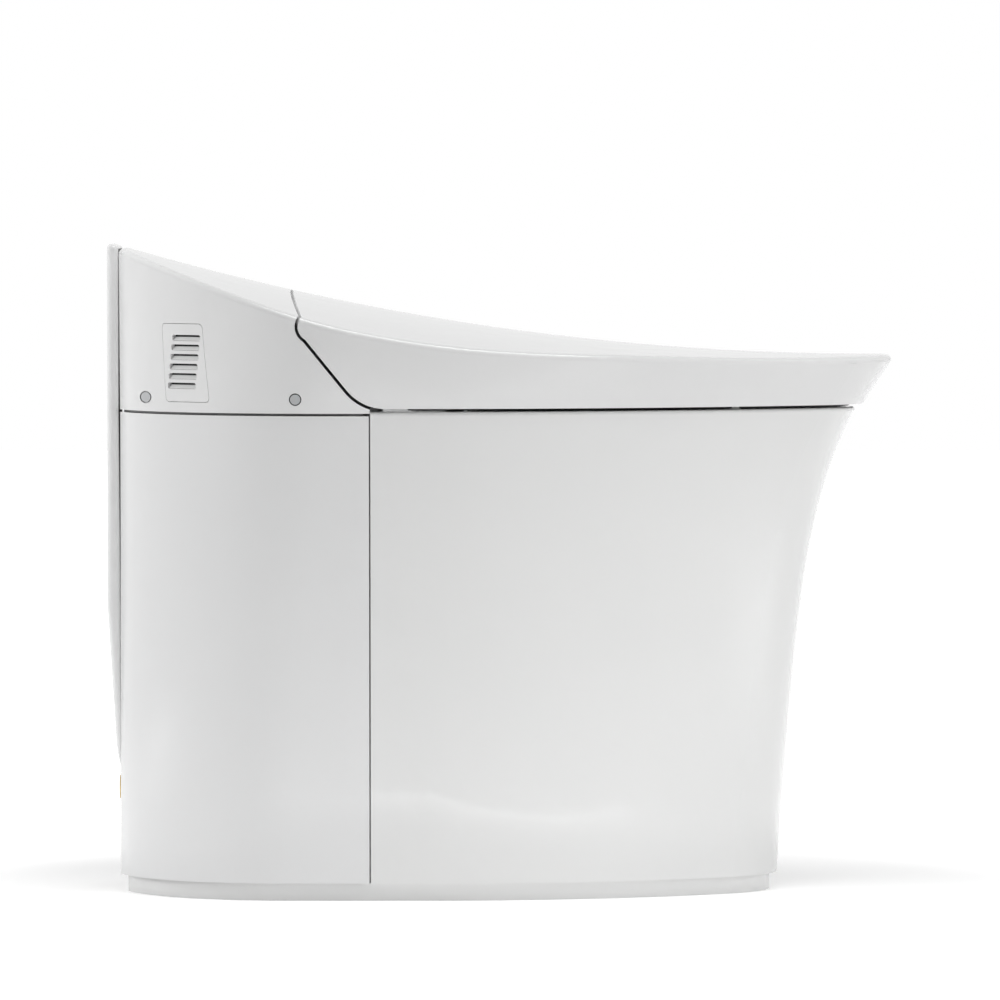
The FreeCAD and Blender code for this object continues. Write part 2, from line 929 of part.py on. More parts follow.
def lid_shell():
    wall = num("shell_wall")
    foot = num("lid_foot")
    half = 300
    region = top_block(0, 0, True).common(cuboid((-500, -half, foot), (500, half, 700)))
    region = region.common(front_of_seam(0).fuse(spindle(0)))
    lip = spindle(0).cut(spindle(-wall)).common(wedge(60, 170, 90, half))
    inside = top_block(wall, wall).cut(lip)
    shell = region.cut(inside)
    shell = max(shell.Solids, key=lambda s: s.Volume)
    return shell.fuse(lid_ears()).removeSplitter()


def lid_ears():
    base = hinge_point()
    wide = num("ear_width")
    ears = []
    for side in (-1, 1):
        start = num("ear_inner") if side > 0 else -num("ear_inner") - wide
        web = cuboid((base.x - 8, start, base.z), (base.x + 40, start + wide, 700))
        knob = Part.makeCylinder(9, wide, V(base.x, start, base.z), LEFT)
        ear = web.fuse(knob).common(top_block(1.5, 1.5))
        bore = Part.makeCylinder(
            num("pin_radius") + num("pin_play"), wide, V(base.x, start, base.z), LEFT
        )
        ears.append(ear.cut(bore))
    return ears


def pad_spots():
    return [(200, side * 98) for side in (-1, 1)] + [(-40, side * 146) for side in (-1, 1)]


def lid_bumpers():
    wall = num("shell_wall")
    low = num("seat_height") + num("rest_gap")
    room = top_block(wall, wall)
    pads = [Part.makeCylinder(7, 80, V(x, y, low)).common(room) for x, y in pad_spots()]
    return Part.makeCompound(pads)


def seat_bumpers():
    low = num("rim_height") + num("rest_gap")
    tall = num("seat_foot") - low
    return Part.makeCompound(
        [Part.makeCylinder(num("pad_radius"), tall, V(x, y, low)) for x, y in pad_spots()]
    )


def seat_plan(height, inset=0.0):
    return outline(
        height,
        num("seat_nose"),
        num("seat_half"),
        -num("rim_rear"),
        -num("rim_apex"),
        num("rim_nose_arc"),
        num("rear_flat"),
        inset,
    )


def seat_hole(height, grow=0.0):
    return outline(
        height,
        num("seat_hole_nose"),
        num("seat_hole_half"),
        -num("seat_hole_rear"),
        90,
        70,
        20,
        -grow,
    )


def seat_slab(low, high, inset, rounding=0.0):
    back = -num("seat_back") + inset
    slab = Part.Face(seat_plan(low, inset)).extrude(V(0, 0, high - low))
    slab = slab.common(cuboid((back, -300, low), (500, 300, high))).Solids[0]
    corners = [e for e in slab.Edges if e.BoundBox.XMax < back + 1 and e.BoundBox.YLength < 0.1]
    slab = slab.makeFillet(num("seat_corner"), corners).Solids[0]
    if rounding:
        upper = [e for e in slab.Edges if e.BoundBox.ZMin > high - 0.1]
        slab = slab.makeFillet(rounding, upper).Solids[0]
    return slab


def seat_opening(low, high, grow, rounding=0.0):
    # the hole flares into the top along a quarter circle
    hole = Part.Face(seat_hole(low - 1, grow)).extrude(V(0, 0, high - low + 2))
    if not rounding:
        return hole
    turns = [math.radians(22.5 * i) for i in range(5)]
    slices = [
        seat_hole(high - rounding * (1 - math.sin(t)), grow + rounding * (1 - math.cos(t)))
        for t in turns
    ]
    return hole.fuse(Part.makeLoft(slices, True))


def seat_ring(low, high, inset, rounding=0.0):
    slab = seat_slab(low, high, inset, rounding)
    return slab.cut(seat_opening(low, high, inset, rounding)).Solids[0]


def seat_top():
    low = num("seat_split")
    high = num("seat_height")
    ring = seat_ring(low, high, 0, num("seat_round"))
    return ring.cut(seat_ring(low, high - num("seat_skin"), 2 * num("seat_skin"))).Solids[0]


def seat_heater():
    high = num("seat_height") - num("seat_skin") - 0.2
    return seat_ring(high - num("heater_thick"), high, 8)


def seat_arm(start):
    base = hinge_point()
    foot = num("seat_foot")
    split = num("seat_split") - 0.2
    back = -num("seat_back") - 0.4
    lug = 11
    slope = lug * math.sqrt(0.5)
    points = [
        (back + 18, foot),
        (back, foot),
        (-118, 437),
        (base.x - slope, base.z - slope),
        (base.x + slope, base.z + slope),
        (back, 456),
        (back, split),
        (back + 18, split),
    ]
    arm = prism_y(points, start + num("arm_width"), start)
    eye = Part.makeCylinder(lug, num("arm_width"), V(base.x, start, base.z), LEFT)
    bore = Part.makeCylinder(
        num("pin_radius") + num("pin_play"),
        num("arm_width"),
        V(base.x, start, base.z),
        LEFT,
    )
    return arm.fuse(eye).cut(bore)


def seat_base():
    foot = num("seat_foot")
    ring = seat_ring(foot, num("seat_split") - 0.2, 1)
    inner = num("arm_inner")
    starts = (inner, -inner - num("arm_width"))
    return ring.fuse([seat_arm(start) for start in starts]).removeSplitter()


def hinge_housing():
    base = hinge_point()
    half = num("barrel_half")
    barrel = Part.makeCylinder(num("barrel_radius"), 2 * half, base - LEFT * half, LEFT)
    neck = wedge(273, 300, 60, half)
    solid = barrel.fuse(neck).cut(tower_region(0, 0, num("seam_gap")))
    solid = solid.common(cuboid((-300, -half, 430), (-90, half, 600)))
    room = half - num("barrel_end")
    bore = Part.makeCylinder(num("barrel_bore"), 2 * room, base - LEFT * room, LEFT)
    ends = Part.makeCylinder(
        num("pin_radius") + num("pin_play"), 2 * half, base - LEFT * half, LEFT
    )
    solid = solid.cut([bore, ends])
    return max(solid.Solids, key=lambda s: s.Volume)


def hinge_pins():
    base = hinge_point()
    start = num("barrel_half") - num("barrel_end") + 1
    length = num("pin_half") - start
    pins = [
        Part.makeCylinder(num("pin_radius"), length, base + LEFT * side * start, LEFT * side)
        for side in (-1, 1)
    ]
    return Part.makeCompound(pins)


def drive_unit(label, side):
    # a geared motor in the barrel, with its short output shaft towards the end
    radius = size("barrel_bore") - 0.3
    length = size("barrel_half") - size("barrel_end") - 4
    corners = [
        (0, 0), (radius, 0), (radius, length * 0.62), (radius * 0.8, length * 0.62),
        (radius * 0.8, length - 4), (size("pin_radius"), length - 4),
        (size("pin_radius"), length), (0, length),
    ]
    turn = (V(1, 0, 0), -90 * side)
    where = (-size("hinge_back"), Size(side * 3.0, str(side * 3.0)), size("hinge_height"))
    return node(turned(label, corners, where, turn), label)


# ---- spray wand, dryer ----


def wand_line(distance):
    slope = math.radians(num("wand_angle"))
    tip = V(-num("wand_tip_back"), num("wand_side"), num("wand_tip_height"))
    back = V(-math.cos(slope), 0, math.sin(slope))
    return tip + back * distance, back


def along_wand(radius, start, end):
    spot, back = wand_line(start)
    return Part.makeCylinder(radius, end - start, spot, back)


def wand_head():
    radius = num("wand_radius")
    head = along_wand(radius, 0, num("head_length"))
    front = [e for e in head.Edges if e.BoundBox.XMax > -num("wand_tip_back") - 1]
    head = head.makeFillet(3, front)
    spot, back = wand_line(num("head_length") / 2)
    jets = [
        Part.makeCylinder(0.9, 5, spot + back * shift + UP * (radius - 3), UP)
        for shift in (-3, 0, 3)
    ]
    return head.cut(jets)


def wand_tube():
    radius = num("wand_radius")
    tube = along_wand(radius, num("head_length"), num("wand_length"))
    return tube.cut(along_wand(radius - 2, num("head_length") + 4, num("wand_length") + 1))


def wand_rail():
    start = num("rail_start")
    end = start + num("rail_length")
    wall = num("wand_radius") + num("rail_wall")
    sleeve = along_wand(wall, start, end)
    spot, back = wand_line(end - 8)
    low = num("deck_height") + 0.1 + num("plate_thick") + 0.1
    side = num("wand_side")
    foot = cuboid((-num("slot_back") - 14, side - 6, low), (-num("slot_back") - 4, side + 6, spot.z))
    bore = along_wand(num("wand_radius") + num("pin_play"), start - 5, end + 25)
    return sleeve.fuse(foot).cut(bore)


def nozzle_bay():
    half = num("bay_half")
    top = num("bay_top")
    main = cuboid(
        (-num("bay_back"), -half, num("bay_floor")), (-num("bay_front"), half, top)
    )
    tail = cuboid((-num("bay_tail"), -half, num("bay_step")), (-num("bay_back") + 1, half, top))
    channel = along_wand(num("wand_radius") + 0.5, -30, 90)
    left, right = duct_sides()
    foot = num("duct_foot")
    duct = cuboid((-num("bay_tail") + 3, left, foot), (-40, right, foot + num("duct_high")))
    mouth = cuboid((-num("bay_tail") + 3, left, foot), (-num("bay_tail") + 15, right, top + 5))
    return main.fuse(tail).cut([channel, duct, mouth])


def duct_sides():
    centre = -num("duct_side")
    return centre - num("duct_wide") / 2, centre + num("duct_wide") / 2


def dryer_flap():
    left, right = duct_sides()
    near = -num("bay_front") + 0.3
    foot = num("duct_foot")
    plate = cuboid(
        (near, left - 2, foot - 2), (near + num("flap_thick"), right + 2, foot + num("duct_high"))
    )
    bead = Part.makeCylinder(
        num("flap_thick") * 0.75,
        right - left + 4,
        V(near + num("flap_thick") * 0.75, left - 2, foot + num("duct_high")),
        LEFT,
    )
    return plate.fuse(bead)


def dryer_fan_housing():
    left, right = duct_sides()
    centre = V(-num("fan_back"), 0, num("fan_height"))
    wide = num("fan_wide")
    middle = (left + right) / 2
    start = centre + LEFT * (middle - wide / 2)
    wall = num("fan_wall")
    drum = Part.makeCylinder(num("fan_radius"), wide, start, LEFT)
    low = num("deck_height") + num("plate_thick") + 0.2
    back = -num("slot_back")
    tail = -num("bay_tail")
    duct = prism_y(
        [(centre.x, low), (back, low), (back, low - 1), (tail, num("bay_top") + 0.2),
         (tail + 16, num("bay_top") + 0.2), (tail + 16, 429), (tail - 10, 436), (centre.x, 440)],
        right + wall, left - wall,
    )
    room = Part.makeCylinder(
        num("fan_radius") - wall, wide - 2 * wall, start + LEFT * wall, LEFT
    )
    air = prism_y(
        [(centre.x, low + wall), (tail + 3, low + wall), (tail + 3, low - 10),
         (tail + 13.5, low - 10), (tail + 13.5, 427), (tail - 10, 433), (centre.x, 437)],
        right, left,
    )
    eye = Part.makeCylinder(14, 2 * wall, start - LEFT * wall, LEFT)
    axle = Part.makeCylinder(
        num("shaft_radius"), 0.6 * wide, start + LEFT * 0.35 * wide, LEFT
    )
    return drum.fuse(duct).cut([room, air, eye]).fuse(axle)


def dryer_impeller():
    left, right = duct_sides()
    wide = num("fan_wide") - 2 * num("fan_wall") - 3
    start = V(-num("fan_back"), (left + right) / 2 - wide / 2, num("fan_height"))
    outer = num("impeller_radius")
    back = Part.makeCylinder(outer, 2, start + LEFT * (wide - 4), LEFT)
    hub = Part.makeCylinder(num("shaft_radius") + 5, wide * 0.6, start + LEFT * (0.4 * wide - 2), LEFT)
    ring = Part.makeCylinder(outer, 2, start, LEFT)
    ring = ring.cut(Part.makeCylinder(outer - 7, 2, start, LEFT))
    blades = []
    count = int(num("blade_count"))
    for i in range(count):
        blade = Part.makeBox(7, wide - 2, 1.4, start + V(outer - 7.5, 0, 0))
        blade.rotate(start + FRONT * (outer - 4), LEFT, 35)
        blade.rotate(start, LEFT, 360 * i / count)
        blades.append(blade)
    rotor = back.fuse([hub, ring] + blades)
    bore = Part.makeCylinder(num("shaft_radius") + num("pin_play"), wide + 4, start - LEFT, LEFT)
    rotor = rotor.common(Part.makeCylinder(outer, wide, start, LEFT))
    return rotor.cut(bore).removeSplitter()


# ---- plain service pieces, all bound to the sheet ----


def outlet_pieces():
    bore = size("trap_bore")
    seat = bore + size("trap_wall") + 0.3
    flange = bore + 43
    shelf = size("outlet_shelf")
    place_x = -size("outlet_place")
    corners = [
        (bore, 0), (seat + 14, 0), (seat + 14, 8), (flange, 8), (flange, 14),
        (seat + 6, 14), (seat + 6, 19), (seat, 19), (seat, shelf), (bore, shelf),
    ]
    node(turned("outlet_connector", corners, (place_x, 0, 0)), "outlet_connector")
    ring = [(seat + 14.3, 0), (flange, 0), (flange, 7.8), (seat + 14.3, 7.8)]
    node(turned("outlet_gasket", ring, (place_x, 0, 0)), "outlet_gasket")


def back_wall():
    # the flat rear face of the china, at the height of the water inlet
    plan = skirt_outline(num("inlet_height"), num("chassis_inset"))
    return plan.BoundBox.XMin


def service_fittings():
    radius = size("inlet_radius")
    face = back_wall()
    reach = size("inlet_reach") + face
    collar = radius + 4
    corners = [
        (radius - 3, -16), (radius, -16), (radius, 0.3), (collar, 0.3), (collar, 4.3),
        (radius, 4.3), (radius, reach), (radius - 3, reach),
    ]
    turn = (LEFT, -90)
    where = (face, -size("inlet_side"), size("inlet_height"))
    node(turned("inlet_fitting", corners, where, turn), "inlet_fitting")
    gland = size("gland_radius")
    hole = size("cord_hole")
    corners = [
        (hole, -14), (gland, -14), (gland, 0.3), (gland + 3, 0.3), (gland + 3, 5),
        (gland, 8), (gland - 2, 13), (hole, 13),
    ]
    where = (face, size("inlet_side"), size("inlet_height"))
    node(turned("cable_gland", corners, where, turn), "cable_gland")
    low = (face + 16.3, -size("inlet_side") - size("valve_wide") * 0.5,
           size("inlet_height") - size("valve_tall") * 0.5)
    body = box("valve_body", low, tuple(a + b for a, b in zip(
        low, (size("valve_long"), size("valve_wide"), size("valve_tall")))))
    coil_at = (face + 16.3 + size("valve_long") * 0.5, -size("inlet_side"),
               size("inlet_height") + size("valve_tall") * 0.5)
    coil = rod("valve_coil", size("valve_wide") * 0.42, size("valve_tall") * 0.8, coil_at)
    node(joined("flush_valve", body, coil), "flush_valve")


def tower_services():
    floor = size("deck_height") + size("plate_thick") + 0.2
    back = -size("supply_back")
    half = size("supply_wide") * 0.5
    top = floor + size("supply_tall")
    case = box("supply_case", (back, -half, floor), (back + size("supply_long"), half, top))
    fillet = doc.addObject("Part::Fillet", "power_supply")
    fillet.Base = case
    fillet.Edges = [(i, 2.0, 2.0) for i in (2, 6, 10, 12)]
    node(fillet, "power_supply")
    posts_top = top + size("standoff")
    board_half = size("board_wide") * 0.5
    board_back = back + 6
    board = box(
        "board_plate",
        (board_back, -board_half, posts_top),
        (board_back + size("board_long"), board_half, posts_top + size("board_thick")),
    )
    posts = [
        rod(f"board_post_{i}", 2.5, size("standoff") - 0.2, (board_back + 15, y, top + 0.2))
        for i, y in enumerate((half * 0.8, half * -0.8))
    ]
    chips = [
        box(
            f"board_chip_{i}",
            (board_back + 6, board_half * (0.5 * i - 0.9), posts_top + size("board_thick")),
            (board_back + 20, board_half * (0.5 * i - 0.6), posts_top + size("board_thick") + 5),
        )
        for i in range(4)
    ]
    node(joined("control_board", board, *posts, *chips), "control_board")
    near = -size("heater_back")
    side = size("heater_side")
    high = floor + size("heater_tall")
    tank = box(
        "tank_case",
        (near, side, floor),
        (near + size("heater_long"), side + size("heater_wide"), high),
    )
    soft = doc.addObject("Part::Fillet", "tank_rounded")
    soft.Base = tank
    radius = num("heater_round")
    soft.Edges = [(i, radius, radius) for i in (1, 3, 5, 7)]
    spouts = [
        rod(f"tank_spout_{i}", 5, 10, (near + size("heater_long") * share, side + 18, high))
        for i, share in enumerate((0.25, 0.5))
    ]
    node(joined("water_heater", soft, *spouts), "water_heater")


def rear_cover():
    # a channel down the back that hides the hose and the cord, open below and to the front
    back = -size("cover_back")
    wall = size("cover_wall")
    top = size("cover_top")
    face = -size("rim_rear") + 3.4
    outer = [
        (face + 3.5, size("cover_foot")), (back + 12, size("cover_foot")),
        (back + 8, size("cover_foot") + 16), (back, size("cover_knee")), (back, top - 4),
        (back + 3.5, top), (face, top - 2.4), (face, size("rim_height")),
    ]
    inner = [
        (face + 9, size("cover_foot") - 5), (back + 12 + wall, size("cover_foot") - 5),
        (back + 8 + wall, size("cover_foot") + 16), (back + wall, size("cover_knee")),
        (back + wall, top - 6), (face + 9, top - 6),
    ]
    body = padded("rear_cover", "XZ_Plane", outer, size("rear_flat") * 2, (0, 0, 0))
    pocket = body.newObject("PartDesign::Pocket", "rear_cover_inside")
    pocket.Profile = polygon(body, "XZ_Plane", inner)
    pocket.SideType = "Symmetric"
    bind(pocket, Length=size("rear_flat") * 2 - wall * 2)
    doc.recompute()
    tall = [
        f"Edge{i + 1}"
        for i, e in enumerate(pocket.Shape.Edges)
        if e.BoundBox.XMin < float(back) + 9
        and abs(abs(e.BoundBox.YMin) - num("rear_flat")) < 0.01
        and e.BoundBox.YLength < 0.01
        and e.BoundBox.ZLength > 10
    ]
    fillet = body.newObject("PartDesign::Fillet", "rear_cover_round")
    fillet.Base = (pocket, tall)
    bind(fillet, Radius=size("cover_round") * 0.4)
    body.Tip = fillet
    node(body, "rear_cover")


def build():
    fill_sheet()
    shaped("bowl_casting", bowl_casting())
    shaped("bowl_basin", bowl_basin())
    shaped("trap_inlet", trap_inlet())
    shaped("trapway", trapway())
    outlet_pieces()
    shaped("side_panel_right", side_panel(-1))
    shaped("side_panel_left", side_panel(1))
    shaped("tower_base", tower_base())
    shaped("tower_shell", tower_shell())
    rear_cover()
    shaped("screw_caps", screw_caps())
    shaped("filter_grille", filter_grille())
    shaped("filter_cartridge", filter_cartridge())
    shaped("button_bezel", button_bezel())
    shaped("flush_button", push_button(0))
    shaped("stop_button", push_button(1))
    shaped("hinge_housing", hinge_housing())
    shaped("hinge_pins", hinge_pins())
    drive_unit("lid_drive_unit", -1)
    drive_unit("seat_drive_unit", 1)
    shaped("lid_shell", lid_shell())
    shaped("lid_bumpers", lid_bumpers())
    shaped("seat_top", seat_top())
    shaped("seat_base", seat_base())
    shaped("seat_heater", seat_heater())
    shaped("seat_bumpers", seat_bumpers())
    shaped("nozzle_bay", nozzle_bay())
    shaped("wand_rail", wand_rail())
    shaped("wand_tube", wand_tube())
    shaped("wand_tip", wand_head())
    shaped("dryer_flap", dryer_flap())
    shaped("dryer_fan_housing", dryer_fan_housing())
    shaped("dryer_impeller", dryer_impeller())
    tower_services()
    service_fittings()
    doc.recompute()


def check():
    for thing in doc.Objects:
        if "Invalid" in thing.State or "Error" in thing.State:
            raise RuntimeError(f"{thing.Label} failed: {thing.State}")
    for thing in nodes:
        if thing.Shape.isNull() or not thing.Shape.isValid():
            raise RuntimeError(f"{thing.Label} has no valid shape")


def export():
    os.makedirs("parts", exist_ok=True)
    for thing in nodes:
        thing.Shape.exportStep(f"parts/{thing.Label}.step")
        inside = thing.Shape
        print(thing.Label, len(inside.Solids), round(inside.Volume / 1000, 1), inside.BoundBox)


build()
check()
export()
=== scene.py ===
import math

import bmesh
import bpy
import numpy as np
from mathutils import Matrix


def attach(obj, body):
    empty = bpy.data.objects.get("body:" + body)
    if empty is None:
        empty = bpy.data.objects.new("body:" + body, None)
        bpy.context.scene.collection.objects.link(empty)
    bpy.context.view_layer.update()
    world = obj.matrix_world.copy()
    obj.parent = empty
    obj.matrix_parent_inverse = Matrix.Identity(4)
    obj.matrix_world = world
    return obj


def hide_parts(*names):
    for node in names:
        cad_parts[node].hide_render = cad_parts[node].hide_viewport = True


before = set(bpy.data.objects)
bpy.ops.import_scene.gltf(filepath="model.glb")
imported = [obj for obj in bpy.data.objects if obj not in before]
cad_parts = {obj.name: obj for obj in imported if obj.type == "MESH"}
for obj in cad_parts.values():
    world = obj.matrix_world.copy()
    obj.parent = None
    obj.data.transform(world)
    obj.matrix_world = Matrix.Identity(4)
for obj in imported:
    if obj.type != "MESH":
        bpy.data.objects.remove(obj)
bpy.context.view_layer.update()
print("frame loaded")

milli = 0.001  # the shapes are worked out in millimetres
mergeReach = 1e-6  # corners this close, in metres, become one
sliverReach = 1e-7  # edges shorter than this are dissolved


class Term:
    # a socket that adds Math nodes when it is used in an expression
    def __init__(self, paint, socket):
        self.paint = paint
        self.socket = socket

    def join(self, operation, first, second):
        return self.paint.node("ShaderNodeMath", {"operation": operation}, {0: first, 1: second})

    def __add__(self, other):
        return self.join("ADD", self, other)

    def __mul__(self, other):
        return self.join("MULTIPLY", self, other)

    __radd__ = __add__
    __rmul__ = __mul__


class Paint:
    # one material and its node tree
    def __init__(self, name):
        self.material = bpy.data.materials.new(name)
        self.material.use_nodes = True
        self.tree = self.material.node_tree
        self.shader = self.tree.nodes["Principled BSDF"]

    def node(self, kind, settings, sockets, output=0):
        made = self.tree.nodes.new(kind)
        for name, setting in settings.items():
            setattr(made, name, setting)
        for name, given in sockets.items():
            self.feed(made.inputs[name], given)
        return Term(self, made.outputs[output])

    def feed(self, socket, given):
        if isinstance(given, Term):
            self.tree.links.new(given.socket, socket)
        else:
            socket.default_value = given

    def place(self):
        return self.node("ShaderNodeTexCoord", {}, {}, "Object")

    def noise(self, scale, detail, rough=0.5, stretch=(1, 1, 1)):
        spread = self.node("ShaderNodeMapping", {}, {"Vector": self.place(), "Scale": stretch})
        sockets = {"Vector": spread, "Scale": scale, "Detail": detail, "Roughness": rough}
        return self.node("ShaderNodeTexNoise", {}, sockets)

    def mixColours(self, factor, low, high):
        # sockets 6 and 7 hold the colours, and output 2 the mixed one
        return self.node("ShaderNodeMix", {"data_type": "RGBA"}, {0: factor, 6: low, 7: high}, 2)

    def bump(self, height, strength, distance):
        sockets = {"Height": height, "Strength": strength, "Distance": distance}
        return self.node("ShaderNodeBump", {}, sockets)

    def set(self, **sockets):
        for name, given in sockets.items():
            self.feed(self.shader.inputs[name.replace("_", " ")], given)


finishes = {
    "glazedChina": dict(
        colour=(0.86, 0.86, 0.855), other=(0.83, 0.835, 0.83), mottle=9, rough=0.07,
        roughSpread=0.05, bumpScale=38, bump=0.05, depth=0.0004, coat=0.6, specular=0.5,
    ),
    "whiteShell": dict(
        colour=(0.86, 0.86, 0.858), other=(0.845, 0.848, 0.848), mottle=14, rough=0.16,
        roughSpread=0.08, bumpScale=420, bump=0.06, depth=0.0001, coat=0.25, specular=0.5,
    ),
    # the shell's white painted lighter on the rear cover: painted light, standing for the light
    # that falls on it
    "paintedLitCoverWhite": dict(
        colour=(0.94, 0.94, 0.938), other=(0.925, 0.928, 0.928), mottle=14, rough=0.2,
        roughSpread=0.08, bumpScale=420, bump=0.06, depth=0.0001, coat=0.2, specular=0.5,
    ),
    "whitePanel": dict(
        colour=(0.855, 0.857, 0.857), other=(0.84, 0.843, 0.845), mottle=11, rough=0.14,
        roughSpread=0.08, bumpScale=420, bump=0.05, depth=0.0001, coat=0.25, specular=0.5,
    ),
    "seatWhite": dict(
        colour=(0.86, 0.86, 0.855), other=(0.85, 0.85, 0.848), mottle=14, rough=0.12,
        roughSpread=0.06, bumpScale=260, bump=0.04, depth=0.0001, coat=0.35, specular=0.5,
    ),
    "greyCap": dict(
        colour=(0.55, 0.56, 0.57), other=(0.5, 0.51, 0.52), mottle=160, rough=0.32,
        roughSpread=0.12, bumpScale=1500, bump=0.15, depth=0.00008, coat=0.0, specular=0.5,
    ),
    "innerWhite": dict(
        colour=(0.74, 0.745, 0.74), other=(0.7, 0.71, 0.71), mottle=60, rough=0.42,
        roughSpread=0.12, bumpScale=1300, bump=0.25, depth=0.0001, coat=0.0, specular=0.4,
    ),
    "darkPlastic": dict(
        colour=(0.03, 0.031, 0.033), other=(0.045, 0.046, 0.05), mottle=70, rough=0.5,
        roughSpread=0.15, bumpScale=1600, bump=0.3, depth=0.0001, coat=0.0, specular=0.4,
    ),
    "shadowPlate": dict(
        colour=(0.3, 0.302, 0.305), other=(0.26, 0.262, 0.265), mottle=70, rough=0.6,
        roughSpread=0.1, bumpScale=1600, bump=0.2, depth=0.0001, coat=0.0, specular=0.3,
    ),
    "pipeGrey": dict(
        colour=(0.42, 0.43, 0.44), other=(0.38, 0.39, 0.4), mottle=40, rough=0.3,
        roughSpread=0.15, bumpScale=500, bump=0.15, depth=0.0001, coat=0.0, specular=0.5,
    ),
    "padRubber": dict(
        colour=(0.62, 0.62, 0.61), other=(0.55, 0.55, 0.54), mottle=120, rough=0.62,
        roughSpread=0.12, bumpScale=900, bump=0.35, depth=0.0001, coat=0.0, specular=0.3,
    ),
    # dark rubber for the outlet gasket and cable gland, and also the painted shade of the gap under
    # the seat
    "darkRubberAndGapShade": dict(
        colour=(0.035, 0.035, 0.037), other=(0.055, 0.055, 0.057), mottle=90, rough=0.7,
        roughSpread=0.1, bumpScale=900, bump=0.4, depth=0.0001, coat=0.0, specular=0.3,
    ),
    "boardGreen": dict(
        colour=(0.02, 0.16, 0.06), other=(0.015, 0.11, 0.045), mottle=220, rough=0.35,
        roughSpread=0.15, bumpScale=700, bump=0.2, depth=0.0001, coat=0.2, specular=0.5,
    ),
    "carbonBlock": dict(
        colour=(0.02, 0.02, 0.021), other=(0.06, 0.06, 0.062), mottle=500, rough=0.85,
        roughSpread=0.1, bumpScale=1100, bump=0.9, depth=0.0006, coat=0.0, specular=0.2,
    ),
}


mouldedLook = dict(
    mottleDetail=4.0, sheenScale=2.3, sheenDetail=5.0, sheenRough=0.6, surfaceDetail=2.0,
    coatRough=0.04,
)


def mouldedPaint(name):
    # colour mottled by one noise, gloss by a second and a fine surface by a third
    shared = mouldedLook
    look = finishes[name]
    paint = Paint(name)
    mottle = paint.noise(look["mottle"], shared["mottleDetail"])
    tone = paint.mixColours(mottle, (*look["colour"], 1), (*look["other"], 1))
    sheenScale = look["mottle"] * shared["sheenScale"]
    sheen = paint.noise(sheenScale, shared["sheenDetail"], shared["sheenRough"])
    surface = paint.noise(look["bumpScale"], shared["surfaceDetail"])
    paint.set(
        Base_Color=tone,
        Roughness=sheen * look["roughSpread"] + (look["rough"] - look["roughSpread"] / 2),
        Normal=paint.bump(surface, look["bump"], look["depth"]),
        Specular_IOR_Level=look["specular"],
        Coat_Weight=look["coat"],
        Coat_Roughness=shared["coatRough"],
    )
    return paint.material


metals = {
    "brushedSteel": dict(
        colour=(0.6, 0.6, 0.61), other=(0.48, 0.48, 0.49), rough=0.28, grain=(20, 900, 900),
    ),
    "plainBrass": dict(
        colour=(0.72, 0.53, 0.24), other=(0.6, 0.42, 0.17), rough=0.3, grain=(60, 700, 700),
    ),
    "heaterFoil": dict(
        colour=(0.7, 0.71, 0.72), other=(0.55, 0.56, 0.57), rough=0.35, grain=(300, 300, 60),
    ),
}

metalLook = dict(scale=1.0, detail=4.0, fineness=0.6, roughSpread=0.16, bump=0.2, depth=0.0001)


def metalPaint(name):
    # fine lines drawn along the grain, in colour, gloss and surface
    look = metals[name]
    shared = metalLook
    paint = Paint(name)
    lines = paint.noise(shared["scale"], shared["detail"], shared["fineness"], look["grain"])
    tone = paint.mixColours(lines, (*look["colour"], 1), (*look["other"], 1))
    paint.set(
        Base_Color=tone,
        Metallic=1.0,
        Roughness=lines * shared["roughSpread"] + (look["rough"] - shared["roughSpread"] / 2),
        Normal=paint.bump(lines, shared["bump"], shared["depth"]),
    )
    return paint.material


paints = {name: mouldedPaint(name) for name in finishes}
paints.update({name: metalPaint(name) for name in metals})

nodePaints = {
    "bowl_casting": "glazedChina", "bowl_basin": "glazedChina", "trap_inlet": "pipeGrey",
    "trapway": "pipeGrey", "outlet_connector": "pipeGrey",
    "outlet_gasket": "darkRubberAndGapShade", "side_panel_right": "whitePanel",
    "side_panel_left": "whitePanel", "tower_base": "shadowPlate", "tower_shell": "whiteShell",
    "rear_cover": "whiteShell", "screw_caps": "greyCap", "filter_grille": "whiteShell",
    "filter_cartridge": "carbonBlock", "button_bezel": "greyCap", "flush_button": "whiteShell",
    "stop_button": "whiteShell", "hinge_housing": "innerWhite", "hinge_pins": "brushedSteel",
    "lid_drive_unit": "darkPlastic", "seat_drive_unit": "darkPlastic",
    "lid_shell": "whiteShell", "lid_bumpers": "padRubber", "seat_top": "seatWhite",
    "seat_base": "seatWhite", "seat_heater": "heaterFoil", "seat_bumpers": "padRubber",
    "nozzle_bay": "innerWhite", "wand_rail": "innerWhite", "wand_tube": "brushedSteel",
    "wand_tip": "innerWhite", "dryer_flap": "innerWhite", "dryer_fan_housing": "darkPlastic",
    "dryer_impeller": "innerWhite", "power_supply": "darkPlastic",
    "control_board": "boardGreen", "water_heater": "innerWhite",
    "inlet_fitting": "plainBrass", "cable_gland": "darkRubberAndGapShade", "flush_valve": "darkPlastic",
}


def paintObject(thing, name):
    thing.data.materials.clear()
    thing.data.materials.append(paints[name])


for nodeName, paintName in nodePaints.items():
    paintObject(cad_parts[nodeName], paintName)
print("materials made")


